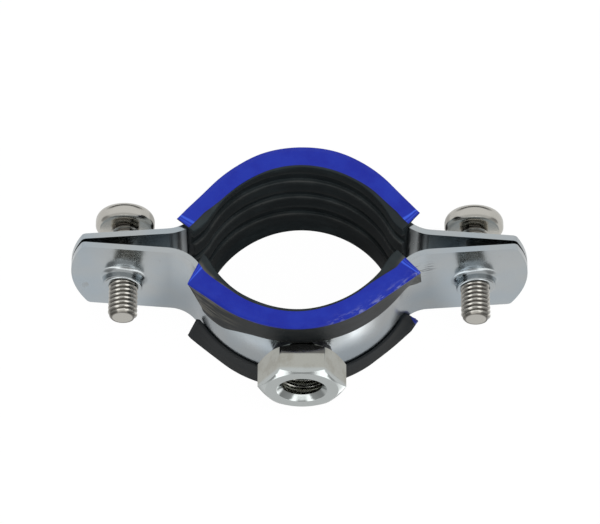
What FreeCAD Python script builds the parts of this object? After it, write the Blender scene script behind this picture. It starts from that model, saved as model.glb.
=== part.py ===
import FreeCAD, Part
import math
import os

# Two-screw pipe clamp with a rubber lining and a welded connection nut.
# X runs from ear to ear, Y from the nut towards the screw heads, Z along the pipe.
# The origin lies in the parting plane, on the pipe's centre line, at half the clamp's width.
# The two halves touch at the ends of their ears, so the clamp is drawn hand tight with no pipe in it.
# All sizes are in millimetres, angles in degrees.

# Pipe and band
pipe_diameter = 33.7
band_width = 20.0
band_thickness = 1.0
arc_setback = 2.9          # how far each half's arc centre lies beyond the parting plane

# Ears
ear_tilt = 4.3             # the ears lean towards each other, outwards
ear_tip_gap = 0.16         # between the two halves where the ears meet
bend_radius = 6.0          # between arc and ear, on the outer face of the band
screw_standoff = 10.75     # from the band's outer radius to the screw
ear_overhang = 9.0         # from the screw to the end of the ear
ear_end_bulge = 2.45       # the end of the ear is an arc that stands this far out
ear_corner_radius = 0.9

# Threaded collars of the front ears, and clearance holes of the rear ears
collar_height = 1.9
collar_wall = 0.85
collar_root_radius = 0.9
collar_edge_radius = 0.35
thread_clearance = 0.05
hole_clearance = 0.45

# Rubber lining
lining_wall = 1.55
lining_rim = 1.0           # height of the rim that covers the edge of the band
lip_thickness = 1.0
rear_lip_thickness = 1.5    # the rear lining stands further out from its band
lip_clearance = 0.2        # between the free edges of the lips and the boss of the nut
lip_pullback = 2.4         # the lip's corner is drawn back from the end of the lining
groove_depth = 0.65
groove_widths = (2.6, 1.9, 2.3)
rim_land = 2.5             # inner face above the first groove
rib_height = 3.6           # inner face between two grooves
edge_round = 0.35          # on the long edges of both rims
rear_flank_angle = 49.0    # slope of the rear lining's straight ends
front_flank_angle = 40.0
rear_lining_shift = -0.25  # the linings have crept along the bands
front_lining_shift = 0.6
rear_lining_overrun = 2.3  # arc length of the lining past the end of the band's main arc
front_lining_overrun = 1.4
end_cut_lean = 8.0         # the end cut leans outwards by this much

# Screws
screw_diameter = 5.0
screw_length = 17.0
screw_engagement = 5.9     # how far the tip stands out in front of the collar
head_diameter = 10.2
head_height = 3.3
head_top_radius = 1.7
head_under_radius = 0.55
slot_width = 1.3
slot_depth = 1.5
recess_width = 1.1
recess_span = 4.6
recess_depth = 2.0
tip_chamfer = 0.4

# Connection nut
nut_flats = 13.0
nut_height = 5.6
nut_thread_diameter = 8.0
nut_bore_diameter = 6.8
nut_chamfer_angle = 28.0
nut_chamfer_inset = 0.3    # the flat faces' circles lie this far inside the flats
nut_boss_diameter = 10.2
nut_lip_gap = 0.15         # between the nut's back face and the lips
nut_offset = 0.5           # the nut is welded a little off the middle
nut_mouth_margin = 0.3     # the countersinks are wider than the thread by this radius

# Worked out from the above
band_inner_radius = pipe_diameter / 2 + lining_wall
band_outer_radius = band_inner_radius + band_thickness
inner_bend_radius = bend_radius + band_thickness
screw_x = band_outer_radius + screw_standoff
ear_reach = screw_x + ear_overhang
half_width = band_width / 2
tolerance = 0.01           # for picking the edges to round
lip_height = half_width - nut_boss_diameter / 2 - lip_clearance
nut_boss_height = lip_thickness + nut_lip_gap


def plan_point(x, y, side):
    """A point of the plan outline. side is 1 for the rear half and -1 for the front half."""
    return FreeCAD.Vector(x, side * y, 0)


def arc(first, middle, last):
    return Part.Arc(first, middle, last).toShape()


def prism(edges, low, high):
    """The solid between two heights over the closed outline that the edges make."""
    wire = Part.Wire(Part.__sortEdges__(edges))
    face = Part.Face(wire)
    face.translate(FreeCAD.Vector(0, 0, low))
    return face.extrude(FreeCAD.Vector(0, 0, high - low))


def bend_centre():
    """Centre of the bend that joins the arc of a half to its ear, on the right, rear half."""
    tilt = math.radians(ear_tilt)
    along = (math.cos(tilt), -math.sin(tilt))
    away = (math.sin(tilt), math.cos(tilt))
    tip = (ear_reach, ear_tip_gap / 2)
    start_x = tip[0] + inner_bend_radius * away[0]
    start_y = tip[1] + inner_bend_radius * away[1] + arc_setback
    run = start_x * along[0] + start_y * along[1]
    reach = band_inner_radius + inner_bend_radius
    shift = -run + math.sqrt(run ** 2 - start_x ** 2 - start_y ** 2 + reach ** 2)
    return start_x + shift * along[0], start_y + shift * along[1] - arc_setback


def strip_points(offset):
    """Key points of a line that runs at an offset outside the band's inner face, right half.

    They are the end of the ear, the ear's end of the bend, the middle of the bend, the arc's end
    of the bend and the arc's top.
    """
    tilt = math.radians(ear_tilt)
    away = (math.sin(tilt), math.cos(tilt))
    bend_x, bend_y = bend_centre()
    radius = inner_bend_radius - offset
    to_arc = math.atan2(-arc_setback - bend_y, -bend_x)
    to_ear = math.atan2(-away[1], -away[0])
    middle = (to_arc + to_ear) / 2
    end_x = ear_reach + ear_end_bulge
    end_y = ear_tip_gap / 2 - ear_end_bulge * math.tan(tilt) + offset / math.cos(tilt)
    return [
        (end_x, end_y),
        (bend_x + radius * math.cos(to_ear), bend_y + radius * math.sin(to_ear)),
        (bend_x + radius * math.cos(middle), bend_y + radius * math.sin(middle)),
        (bend_x + radius * math.cos(to_arc), bend_y + radius * math.sin(to_arc)),
        (0.0, band_inner_radius + offset - arc_setback),
    ]


def strip_edges(offset, side):
    """The whole line at an offset outside the band's inner face, from ear to ear."""
    right = [plan_point(x, y, side) for x, y in strip_points(offset)]
    left = [plan_point(-x, y, side) for x, y in strip_points(offset)]
    return [
        Part.makeLine(left[0], left[1]),
        arc(left[1], left[2], left[3]),
        arc(left[3], left[4], right[3]),
        arc(right[3], right[2], right[1]),
        Part.makeLine(right[1], right[0]),
    ]


def strip(inner, outer, low, high, side):
    """A wall that follows the band, between two offsets and two heights."""
    edges = strip_edges(inner, side) + strip_edges(outer, side)
    for mirror in (1, -1):
        first = strip_points(inner)[0]
        last = strip_points(outer)[0]
        start = plan_point(mirror * first[0], first[1], side)
        end = plan_point(mirror * last[0], last[1], side)
        edges.append(Part.makeLine(start, end))
    return prism(edges, low, high)


def band_blank():
    """Outline of the band seen along Y, as a plate thick enough to trim the bent strip."""
    corner_x = ear_reach - ear_end_bulge
    depth = band_outer_radius + band_thickness
    points = [FreeCAD.Vector(x, -depth, z) for x, z in (
        (-corner_x, -half_width), (corner_x, -half_width), (ear_reach, 0),
        (corner_x, half_width), (-corner_x, half_width), (-ear_reach, 0))]
    edges = [
        Part.makeLine(points[0], points[1]),
        arc(points[1], points[2], points[3]),
        Part.makeLine(points[3], points[4]),
        arc(points[4], points[5], points[0]),
    ]
    plate = Part.Face(Part.Wire(edges)).extrude(FreeCAD.Vector(0, 2 * depth, 0))
    corners = [edge for edge in plate.Edges if is_ear_corner(edge, corner_x)]
    return plate.makeFillet(ear_corner_radius, corners)


def is_ear_corner(edge, corner_x):
    centre = edge.BoundBox.Center
    along_y = edge.BoundBox.YLength > band_width
    return along_y and abs(abs(centre.x) - corner_x) < tolerance


def bent_band(side):
    """One half of the clamp: a flat strip with rounded ends, bent to shape."""
    return strip(0, band_thickness, -half_width, half_width, side).common(band_blank())


def ear_frame(x, side):
    """Point on an ear's outer face over a screw, and the direction out of that face."""
    tilt = math.radians(ear_tilt)
    depth = ear_tip_gap / 2 + (ear_reach - abs(x)) * math.tan(tilt)
    depth += band_thickness / math.cos(tilt)
    out = FreeCAD.Vector(math.copysign(math.sin(tilt), x), side * math.cos(tilt), 0)
    return FreeCAD.Vector(x, side * depth, 0), out


def along_axis(shape, start, direction):
    """Move a shape that was drawn along +Z so that it starts at a point and runs in a direction."""
    turn = FreeCAD.Rotation(FreeCAD.Vector(0, 0, 1), direction)
    shape.Placement = FreeCAD.Placement(start, turn)
    return shape


def turned(points):
    """Solid of revolution about +Z from corner points (radius, height)."""
    corners = [FreeCAD.Vector(r, 0, z) for r, z in points]
    wire = Part.makePolygon(corners + corners[:1])
    return Part.Face(wire).revolve(FreeCAD.Vector(0, 0, 0), FreeCAD.Vector(0, 0, 1), 360)


def turned_wire(edges):
    """Solid of revolution about +Z from edges in the XZ plane."""
    wire = Part.Wire(Part.__sortEdges__(edges))
    return Part.Face(wire).revolve(FreeCAD.Vector(0, 0, 0), FreeCAD.Vector(0, 0, 1), 360)


def corner_arc(centre, radius, start, end):
    """Arc in the XZ plane about a centre (x, z), between two angles."""
    middle = (start + end) / 2
    points = []
    for angle in (start, middle, end):
        turn = math.radians(angle)
        points.append(FreeCAD.Vector(centre[0] + radius * math.cos(turn), 0,
                                     centre[1] + radius * math.sin(turn)))
    return Part.Arc(points[0], points[1], points[2]).toShape()


def drawn_collar():
    """Collar pulled out of the sheet: a tube with a curved root and a rounded mouth, along +Z."""
    outer = screw_diameter / 2 + thread_clearance + collar_wall
    foot = -band_thickness / 2
    root = (outer + collar_root_radius, collar_root_radius)
    mouth = (outer - collar_edge_radius, collar_height - collar_edge_radius)
    start = FreeCAD.Vector(0, 0, foot)
    foot_edge = FreeCAD.Vector(root[0], 0, foot)
    foot_top = FreeCAD.Vector(root[0], 0, 0)
    wall_low = FreeCAD.Vector(outer, 0, root[1])
    wall_high = FreeCAD.Vector(outer, 0, mouth[1])
    mouth_edge = FreeCAD.Vector(mouth[0], 0, collar_height)
    mouth_centre = FreeCAD.Vector(0, 0, collar_height)
    return turned_wire([
        Part.makeLine(start, foot_edge),
        Part.makeLine(foot_edge, foot_top),
        corner_arc(root, collar_root_radius, 270, 180),
        Part.makeLine(wall_low, wall_high),
        corner_arc(mouth, collar_edge_radius, 0, 90),
        Part.makeLine(mouth_edge, mouth_centre),
        Part.makeLine(mouth_centre, start),
    ])


def hole_along_y(x, radius):
    length = 2 * band_outer_radius
    base = FreeCAD.Vector(x, -length / 2, 0)
    return Part.makeCylinder(radius, length, base, FreeCAD.Vector(0, 1, 0))


def front_band():
    shape = bent_band(-1)
    for x in (-screw_x, screw_x):
        start, out = ear_frame(x, -1)
        shape = shape.fuse(along_axis(drawn_collar(), start, out))
        shape = shape.cut(hole_along_y(x, screw_diameter / 2 + thread_clearance))
    return shape.removeSplitter()


def rear_band():
    shape = bent_band(1)
    for x in (-screw_x, screw_x):
        shape = shape.cut(hole_along_y(x, screw_diameter / 2 + hole_clearance))
    return shape


def lip_line(radius, flank_angle):
    """Where a lip's arc of this radius ends, and the far end of its straight flank, right half.

    The flank runs on below the bend, where the lining's end cut takes off what is too long.
    """
    slope = math.radians(flank_angle)
    end_x = radius * math.sin(slope)
    end_y = radius * math.cos(slope) - arc_setback
    far_x = bend_centre()[0]
    far_y = end_y - (far_x - end_x) * math.tan(slope)
    return (end_x, end_y), (far_x, far_y)


def lip_edges(radius, flank_angle, side):
    right_end, right_far = lip_line(radius, flank_angle)
    top = plan_point(0, radius - arc_setback, side)
    right = [plan_point(x, y, side) for x, y in (right_end, right_far)]
    left = [plan_point(-x, y, side) for x, y in (right_end, right_far)]
    return [
        Part.makeLine(left[1], left[0]),
        arc(left[0], top, right[0]),
        Part.makeLine(right[0], right[1]),
    ]


def end_corner(shift, direction, side):
    """Inner corner of the lining's end, on the right (1) or the left (-1), in rear half terms."""
    overrun = rear_lining_overrun if side > 0 else front_lining_overrun
    bend_x, bend_y = bend_centre()
    radius = inner_bend_radius + lining_wall
    angle = math.atan2(-arc_setback - bend_y, -bend_x)
    angle += (overrun + direction * shift) / inner_bend_radius
    return bend_x + radius * math.cos(angle), bend_y + radius * math.sin(angle)


def end_direction(flank_angle):
    """Direction of the end cut in plan, from the inner corner outwards, right half."""
    angle = math.radians(90 - flank_angle - end_cut_lean)
    return math.cos(angle), math.sin(angle)


def lining_bounds(flank_angle, shift, side):
    """A block that ends where the lining ends, cut square to its flanks."""
    reach = 2 * band_outer_radius
    dir_x, dir_y = end_direction(flank_angle)
    corners = []
    for direction in (1, -1):
        x, y = end_corner(shift, direction, side)
        low = (direction * (x - lining_wall * dir_x), y - lining_wall * dir_y)
        high = (direction * (x + reach * dir_x), y + reach * dir_y)
        corners.append([low, high])
    outline = corners[0] + corners[1][::-1]
    points = [plan_point(x, y, side) for x, y in outline]
    top = half_width + 2 * lining_rim
    edges = [Part.makeLine(points[i - 1], points[i]) for i in range(4)]
    return prism(edges, -top, top)


def lip_trim(flank_angle, shift, direction, side):
    """Wedge that draws the free edge of a lip back from the lining's end."""
    x, y = end_corner(shift, direction, side)
    dir_x, dir_y = end_direction(flank_angle)
    reach = band_outer_radius / 2
    free_edge = half_width - lip_height
    start = plan_point(direction * x, y, side)
    outward = plan_point(direction * dir_x, dir_y, side)
    back = plan_point(-direction * dir_y, dir_x, side)
    corners = [
        start - back,
        start - back + FreeCAD.Vector(0, 0, half_width),
        start + FreeCAD.Vector(0, 0, half_width),
        start + back * lip_pullback + FreeCAD.Vector(0, 0, free_edge),
        start + back * lip_pullback,
    ]
    face = Part.Face(Part.makePolygon(corners + corners[:1]))
    wedge = face.extrude(outward * reach)
    return wedge.fuse(wedge.mirror(FreeCAD.Vector(0, 0, 0), FreeCAD.Vector(0, 0, 1)))


def lip_outer_radius(side):
    """Outer face of a half's lips."""
    return band_outer_radius + (rear_lip_thickness if side > 0 else lip_thickness)


def lip(flank_angle, shift, side):
    """The two lips that grip the edges of the band from outside, as one shape for both edges."""
    inner = band_outer_radius
    outer = lip_outer_radius(side)
    edges = lip_edges(inner, flank_angle, side) + lip_edges(outer, flank_angle, side)
    for mirror in (1, -1):
        first = lip_line(inner, flank_angle)[1]
        last = lip_line(outer, flank_angle)[1]
        edges.append(Part.makeLine(plan_point(mirror * first[0], first[1], side),
                                   plan_point(mirror * last[0], last[1], side)))
    upper = prism(edges, half_width - lip_height, half_width)
    both = Part.makeCompound([upper, upper.mirror(FreeCAD.Vector(0, 0, 0), FreeCAD.Vector(0, 0, 1))])
    for direction in (1, -1):
        both = both.cut(lip_trim(flank_angle, shift, direction, side))
    return both


def rim(flank_angle, side):
    """The rubber above the band's edge, from the pipe side to the outside of the lip."""
    outer = lip_outer_radius(side)
    inner_end = strip_points(-lining_wall)[0]
    outer_end = lip_line(outer, flank_angle)[1]
    edges = strip_edges(-lining_wall, side) + lip_edges(outer, flank_angle, side)
    for mirror in (1, -1):
        edges.append(Part.makeLine(plan_point(mirror * inner_end[0], inner_end[1], side),
                                   plan_point(mirror * outer_end[0], outer_end[1], side)))
    return prism(edges, half_width, half_width + lining_rim)


def lining_grooves(side):
    """Grooves along the inner face, from the top down: they leave two ribs between the rims."""
    top = half_width + lining_rim - rim_land
    cuts = []
    for width in groove_widths:
        cuts.append(strip(-2 * lining_wall, groove_depth - lining_wall, top - width, top, side))
        top -= width + rib_height
    return cuts


def is_rim_edge(edge):
    """True for an edge of the top or bottom face of the lining."""
    box = edge.BoundBox
    flat = box.ZLength < tolerance
    return flat and abs(abs(box.Center.z) - half_width - lining_rim) < tolerance


def lining(flank_angle, shift, side):
    """Rubber profile pushed over one band: wall, two rims and two lips, all one piece."""
    wall = strip(-lining_wall, 0, -half_width, half_width, side)
    upper_rim = rim(flank_angle, side)
    lower_rim = upper_rim.mirror(FreeCAD.Vector(0, 0, 0), FreeCAD.Vector(0, 0, 1))
    rims = upper_rim.fuse([wall, lower_rim]).removeSplitter()
    rims = rims.makeFillet(edge_round, [edge for edge in rims.Edges if is_rim_edge(edge)])
    body = rims.fuse(lip(flank_angle, shift, side))
    body = body.common(lining_bounds(flank_angle, shift, side))
    body = body.cut(Part.makeCompound(lining_grooves(side)))
    return body.removeSplitter()


def screw(x):
    """Pan head screw along Y, head behind the rear ear, tip in front of the front ear's collar."""
    radius = head_diameter / 2
    under = head_under_radius
    top = head_top_radius
    shank = screw_diameter / 2
    flat = FreeCAD.Vector(radius - top, 0, head_height)
    head = turned_wire([
        Part.makeLine(FreeCAD.Vector(0, 0, 0), FreeCAD.Vector(radius - under, 0, 0)),
        corner_arc((radius - under, under), under, 270, 360),
        Part.makeLine(FreeCAD.Vector(radius, 0, under), FreeCAD.Vector(radius, 0, head_height - top)),
        corner_arc((radius - top, head_height - top), top, 0, 90),
        Part.makeLine(flat, FreeCAD.Vector(0, 0, head_height)),
        Part.makeLine(FreeCAD.Vector(0, 0, head_height), FreeCAD.Vector(0, 0, 0)),
    ])
    body = turned([(0, head_height / 2), (shank, head_height / 2), (shank, tip_chamfer - screw_length),
                   (shank - tip_chamfer, -screw_length), (0, -screw_length)])
    shape = head.fuse(body).cut(driver_recess())
    front_ear, out = ear_frame(x, -1)
    tip_y = front_ear.y - collar_height - screw_engagement
    start = FreeCAD.Vector(x, tip_y + screw_length, 0)
    return along_axis(shape.removeSplitter(), start, FreeCAD.Vector(0, 1, 0))


def driver_recess():
    """Slot across the head, with a tapered cross recess at its centre."""
    slot = Part.makeBox(head_diameter, slot_width, slot_depth,
                        FreeCAD.Vector(-head_diameter / 2, -slot_width / 2, head_height - slot_depth))
    arms = []
    for turn in (0, 90):
        low = head_height - recess_depth
        half = recess_span / 2
        profile = Part.makePolygon([FreeCAD.Vector(r, -recess_width / 2, z) for r, z in (
            (-half, head_height), (half, head_height), (recess_width / 2, low),
            (-recess_width / 2, low), (-half, head_height))])
        arm = Part.Face(profile).extrude(FreeCAD.Vector(0, recess_width, 0))
        arm.rotate(FreeCAD.Vector(0, 0, 0), FreeCAD.Vector(0, 0, 1), turn)
        arms.append(arm)
    return slot.fuse(arms)


def nut_blank():
    """Hexagon with both faces chamfered, from its back face along +Z."""
    corner = nut_flats / math.sqrt(3)
    points = [FreeCAD.Vector(corner * math.cos(math.radians(60 * index)),
                             corner * math.sin(math.radians(60 * index)), 0) for index in range(7)]
    hexagon = Part.Face(Part.makePolygon(points)).extrude(FreeCAD.Vector(0, 0, nut_height))
    face = nut_flats / 2 - nut_chamfer_inset
    drop = (corner - face) * math.tan(math.radians(nut_chamfer_angle))
    double_cone = turned([(0, 0), (face, 0), (corner, drop), (corner, nut_height - drop),
                          (face, nut_height), (0, nut_height)])
    return hexagon.common(double_cone)


def nut_bore():
    """Thread bore from the nut's front face along +Z, countersunk in front and widened in the boss."""
    bore = nut_bore_diameter / 2
    mouth = nut_thread_diameter / 2 + nut_mouth_margin
    sink = mouth - bore
    length = nut_height + nut_boss_height + band_thickness
    return turned([(0, -mouth), (bore + sink + mouth, -mouth), (bore, sink), (bore, nut_height),
                   (mouth, nut_height + sink), (mouth, length), (0, length)])


def connection_nut():
    """Hexagon nut whose round weld boss is shaped to the band's outer face."""
    seat = arc_setback - band_outer_radius
    back = FreeCAD.Vector(nut_offset, seat - nut_boss_height, 0)
    front = back - FreeCAD.Vector(0, nut_height, 0)
    shape = along_axis(nut_blank(), back, FreeCAD.Vector(0, -1, 0))
    boss = Part.makeCylinder(nut_boss_diameter / 2, nut_boss_diameter, back, FreeCAD.Vector(0, 1, 0))
    band_axis = FreeCAD.Vector(0, arc_setback, -band_width)
    boss = boss.cut(Part.makeCylinder(band_outer_radius, 2 * band_width, band_axis))
    shape = shape.fuse(boss)
    shape = shape.cut(along_axis(nut_bore(), front, FreeCAD.Vector(0, 1, 0)))
    return shape.removeSplitter()


def build_nodes():
    return {
        "front_band": front_band(),
        "rear_band": rear_band(),
        "front_lining": lining(front_flank_angle, front_lining_shift, -1),
        "rear_lining": lining(rear_flank_angle, rear_lining_shift, 1),
        "connection_nut": connection_nut(),
        "left_screw": screw(-screw_x),
        "right_screw": screw(screw_x),
    }


os.makedirs("parts", exist_ok=True)
for node, shape in build_nodes().items():
    print(node, shape.isValid(), len(shape.Solids), round(shape.Volume, 2), shape.BoundBox)
    shape.exportStep("parts/" + node + ".step")
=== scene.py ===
"""Looks of a rubber lined pipe clamp: two bent bands, two linings, two screws and a connection nut."""

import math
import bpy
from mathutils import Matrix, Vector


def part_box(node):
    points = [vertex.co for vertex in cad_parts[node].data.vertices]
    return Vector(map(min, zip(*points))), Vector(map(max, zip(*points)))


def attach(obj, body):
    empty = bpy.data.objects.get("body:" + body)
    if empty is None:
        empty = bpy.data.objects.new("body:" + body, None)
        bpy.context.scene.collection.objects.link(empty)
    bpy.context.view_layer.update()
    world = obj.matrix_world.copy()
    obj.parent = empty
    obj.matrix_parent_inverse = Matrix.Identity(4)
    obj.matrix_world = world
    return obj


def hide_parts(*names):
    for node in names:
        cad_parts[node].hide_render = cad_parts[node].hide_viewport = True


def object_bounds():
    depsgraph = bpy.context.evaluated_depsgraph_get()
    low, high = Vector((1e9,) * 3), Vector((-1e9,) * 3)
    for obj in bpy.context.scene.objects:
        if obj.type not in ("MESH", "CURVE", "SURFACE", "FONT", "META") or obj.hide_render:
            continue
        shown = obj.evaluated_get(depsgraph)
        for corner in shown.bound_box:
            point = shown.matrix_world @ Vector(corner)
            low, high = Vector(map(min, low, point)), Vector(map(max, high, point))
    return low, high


bl_info = {
    "name": "Lined Pipe Clamp",
    "version": (1, 0, 0),
    "blender": (4, 5, 0),
    "location": "3D View > Sidebar > Pipe Clamp",
    "description": "Dresses the pieces of a rubber lined pipe clamp and sets a plain studio round it",
    "category": "Add Mesh",
}

from collections import namedtuple

import bmesh
import bpy
from bpy.props import FloatProperty, FloatVectorProperty, PointerProperty
from mathutils import Matrix, Vector
from mathutils.geometry import tessellate_polygon

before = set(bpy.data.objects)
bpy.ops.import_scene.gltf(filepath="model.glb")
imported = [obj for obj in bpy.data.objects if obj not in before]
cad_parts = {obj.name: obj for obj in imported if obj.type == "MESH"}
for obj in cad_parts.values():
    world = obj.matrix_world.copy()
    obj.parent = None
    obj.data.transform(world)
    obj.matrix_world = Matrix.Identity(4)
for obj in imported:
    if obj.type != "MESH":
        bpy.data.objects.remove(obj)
cad_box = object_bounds()

MM = 0.001


def length(name, description, millimetres):
    """A size that the user can change, given here in millimetres and kept in metres."""
    return FloatProperty(name=name, description=description, default=millimetres * MM,
                         min=0.0, precision=5, unit="LENGTH")


def angle(name, description, degrees):
    return FloatProperty(name=name, description=description, default=math.radians(degrees), unit="ROTATION")


def share(name, description, default):
    return FloatProperty(name=name, description=description, default=default, min=0.0, max=1.0,
                         subtype="FACTOR")


def colour(name, description, default):
    return FloatVectorProperty(name=name, description=description, default=default, size=3,
                               min=0.0, max=1.0, subtype="COLOR")


class ClampSizes(bpy.types.PropertyGroup):
    """Sizes of the band's line, the lining's section and the threads."""

    band_thickness: length("Band Thickness", "Sheet of both halves", 1.0)
    arc_setback: length("Arc Setback", "How far an arc's centre lies beyond the parting plane", 2.9)
    ear_tilt: angle("Ear Tilt", "Lean of the ears towards each other", 4.3)
    ear_reach: length("Ear Reach", "From the middle to the end of an ear", 39.15)
    ear_gap: length("Ear Gap", "Between the two halves at the ends of the ears", 0.16)
    bend_radius: length("Bend Radius", "Outer face, between arc and ear", 6.0)
    pipe_radius: length("Pipe Radius", "Inner face of the linings", 16.85)
    lining_wall: length("Lining Wall", "Rubber between pipe and band", 1.55)
    lining_rim: length("Lining Rim", "Rubber over the edge of the band", 1.0)
    lip_height: length("Lip Height", "From the band's edge to the lip's free edge", 4.7)
    channel_play: length("Channel Play", "Air between the rubber and the band", 0.02)
    groove_depth: length("Groove Depth", "Grooves between the ribs", 0.65)
    rim_land: length("Rim Land", "Inner face above the first groove", 2.5)
    rib_height: length("Rib Height", "Inner face between two grooves", 3.6)
    stripe_start: length("Stripe Start", "Bare rubber between the pipe side and the coloured stripe", 0.5)
    sheet_edge: length("Sheet Edge", "Rounding of the stamped edges", 0.12)
    nut_edge: length("Nut Edge", "Rounding of the nut's edges", 0.1)
    screw_pitch: length("Screw Pitch", "Pitch of the screws' thread", 0.8)
    screw_radius: length("Screw Radius", "Outer radius of the screws' thread", 2.5)
    nut_pitch: length("Nut Pitch", "Pitch of the nut's thread", 1.25)
    nut_thread_radius: length("Nut Thread Radius", "Outer radius of the nut's thread", 4.0)
    nut_bore_radius: length("Nut Bore Radius", "Core bore of the nut's thread", 3.4)


class ClampFinish(bpy.types.PropertyGroup):
    """Colours and surface values."""

    rubber: colour("Rubber", "Bare rubber", (0.007, 0.010, 0.012))
    rubber_bloom: colour("Rubber Bloom", "Dusty bloom on the rubber", (0.044, 0.043, 0.040))
    pipe_side: colour("Pipe Side", "Bare rubber on the pipe side", (0.009, 0.014, 0.016))
    pipe_side_bloom: colour("Pipe Side Bloom", "Bloom on the pipe side", (0.038, 0.052, 0.056))
    stripe: colour("Stripe", "Stripe on the rims", (0.003, 0.014, 0.32))
    stripe_stress: colour("Stripe Stress", "Stripe where the rubber was stretched", (0.05, 0.13, 0.80))
    sheet_zinc: colour("Sheet Zinc", "Zinc of the bands", (0.44, 0.50, 0.545))
    sheet_zinc_warm: colour("Sheet Zinc Warm", "Patches in the bands' zinc", (0.49, 0.52, 0.53))
    nut_zinc: colour("Nut Zinc", "Zinc of the nut", (0.47, 0.475, 0.435))
    screw_zinc: colour("Screw Zinc", "Zinc of the screws", (0.59, 0.575, 0.53))
    dull: colour("Dull Zinc", "Zinc that has gone dull", (0.36, 0.36, 0.35))
    wear: share("Wear", "Amount of scratches and scuffs", 0.5)


class StudioSettings(bpy.types.PropertyGroup):
    """Camera and lamps."""

    distance: length("Distance", "From the camera to its target", 608.67)
    elevation: angle("Elevation", "Height of the camera over the floor", 61.515)
    azimuth: angle("Azimuth", "Turn of the camera round the clamp", -0.115)
    roll: angle("Roll", "Turn of the camera about its own axis", 0.37)
    lens: FloatProperty(name="Lens", description="Focal length in millimetres", default=216.85)
    world_strength: FloatProperty(name="World Strength", description="Even light from all round", default=0.55)
    key_power: FloatProperty(name="Key Power", description="Lamp over the clamp", default=2.6, unit="POWER")


class Value:
    """A node's output that takes part in sums: each operator adds a Math node to its tree."""

    def __init__(self, socket):
        self.socket = socket
        self.tree = socket.id_data

    def __add__(self, other):
        return calc("ADD", self, other)

    def __sub__(self, other):
        return calc("SUBTRACT", self, other)

    def __mul__(self, other):
        return calc("MULTIPLY", self, other)

    def __abs__(self):
        return calc("ABSOLUTE", self)

    def ramp(self, low, high, bottom=0.0, top=1.0):
        """The value taken smoothly from one range to another."""
        return output(self.tree, "ShaderNodeMapRange", {"Value": self, "From Min": low, "From Max": high,
                                                        "To Min": bottom, "To Max": top},
                      "Result", interpolation_type="SMOOTHSTEP")


def feed(node, inputs):
    """Set or link a node's inputs, by name or place."""
    for key, value in inputs.items():
        if isinstance(value, Value):
            node.id_data.links.new(value.socket, node.inputs[key])
        else:
            node.inputs[key].default_value = value
    return node


def add(tree, kind, inputs=None, **settings):
    """A new node with its settings and inputs."""
    node = tree.nodes.new(kind)
    for key, value in settings.items():
        setattr(node, key, value)
    return feed(node, inputs or {})


def output(tree, kind, inputs=None, key=0, **settings):
    """A new node's output, the first one if not told otherwise."""
    return Value(add(tree, kind, inputs, **settings).outputs[key])


def calc(operation, *values, clamp=False):
    """A Math node's result."""
    tree = next(value.tree for value in values if isinstance(value, Value))
    return output(tree, "ShaderNodeMath", dict(enumerate(values)), operation=operation, use_clamp=clamp)


def vector_calc(operation, *values):
    """A Vector Math node's result, which is a number for a length, a distance or a dot product."""
    key = "Value" if operation in ("LENGTH", "DISTANCE", "DOT_PRODUCT") else "Vector"
    return output(values[0].tree, "ShaderNodeVectorMath", dict(enumerate(values)), key, operation=operation)


def scaled(vector, factor):
    return output(vector.tree, "ShaderNodeVectorMath", {0: vector, "Scale": factor}, operation="SCALE")


def split(vector):
    """A vector's three parts."""
    return [Value(part) for part in add(vector.tree, "ShaderNodeSeparateXYZ", {0: vector}).outputs]


def joined(tree, x=0.0, y=0.0, z=0.0):
    """A vector made of three parts."""
    return output(tree, "ShaderNodeCombineXYZ", {"X": x, "Y": y, "Z": z})


# Places of a Mix node's two inputs and of its output, by the kind of what it mixes
MIX_SOCKETS = {"FLOAT": (2, 3, 0), "VECTOR": (4, 5, 1), "RGBA": (6, 7, 2)}


def mix(factor, first, second, kind="FLOAT"):
    """Two numbers, vectors or colours mixed by a factor."""
    low, high, result = MIX_SOCKETS[kind]
    return output(factor.tree, "ShaderNodeMix", {0: factor, low: first, high: second}, result, data_type=kind)


def blend(factor, first, second):
    """Two colours mixed by a factor."""
    return mix(factor, *(value if isinstance(value, Value) else (*value, 1.0) for value in (first, second)), "RGBA")


def new_tree(name, kind, inputs, outputs):
    """A tree with named sockets, the values of its inputs by name, and its output node."""
    tree = bpy.data.node_groups.new(name, kind)
    for label, socket_kind, default in inputs:
        socket = tree.interface.new_socket(label, in_out="INPUT", socket_type=socket_kind)
        if default is not None:
            socket.default_value = default
    for label, socket_kind in outputs:
        tree.interface.new_socket(label, in_out="OUTPUT", socket_type=socket_kind)
    source = tree.nodes.new("NodeGroupInput")
    given = {socket.name: Value(socket) for socket in source.outputs if socket.name}
    return tree, given, tree.nodes.new("NodeGroupOutput")


def store(obj, columns):
    """Keep one value or vector for each point of an object, as attributes by name."""
    for name, values in columns.items():
        if isinstance(values[0], tuple):
            data = obj.data.attributes.new(name, "FLOAT_VECTOR", "POINT").data
            data.foreach_set("vector", [part for value in values for part in value])
        else:
            obj.data.attributes.new(name, "FLOAT", "POINT").data.foreach_set("value", values)


def plain_mesh(obj):
    """Turn what an object's modifiers make into its own mesh, and take the modifiers off."""
    depsgraph = bpy.context.evaluated_depsgraph_get()
    mesh = bpy.data.meshes.new_from_object(obj.evaluated_get(depsgraph))
    obj.modifiers.clear()
    obj.data = mesh


def new_object(name, mesh):
    obj = bpy.data.objects.new(name, mesh)
    bpy.context.scene.collection.objects.link(obj)
    return obj


def shape_object(name, points, edges=(), faces=()):
    mesh = bpy.data.meshes.new(name)
    mesh.from_pydata(points, edges, faces)
    return new_object(name, mesh)


def line_object(name, points, closed):
    """A mesh of edges through points."""
    count = len(points)
    edges = [(index, (index + 1) % count) for index in range(count if closed else count - 1)]
    return shape_object(name, points, edges)


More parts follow.
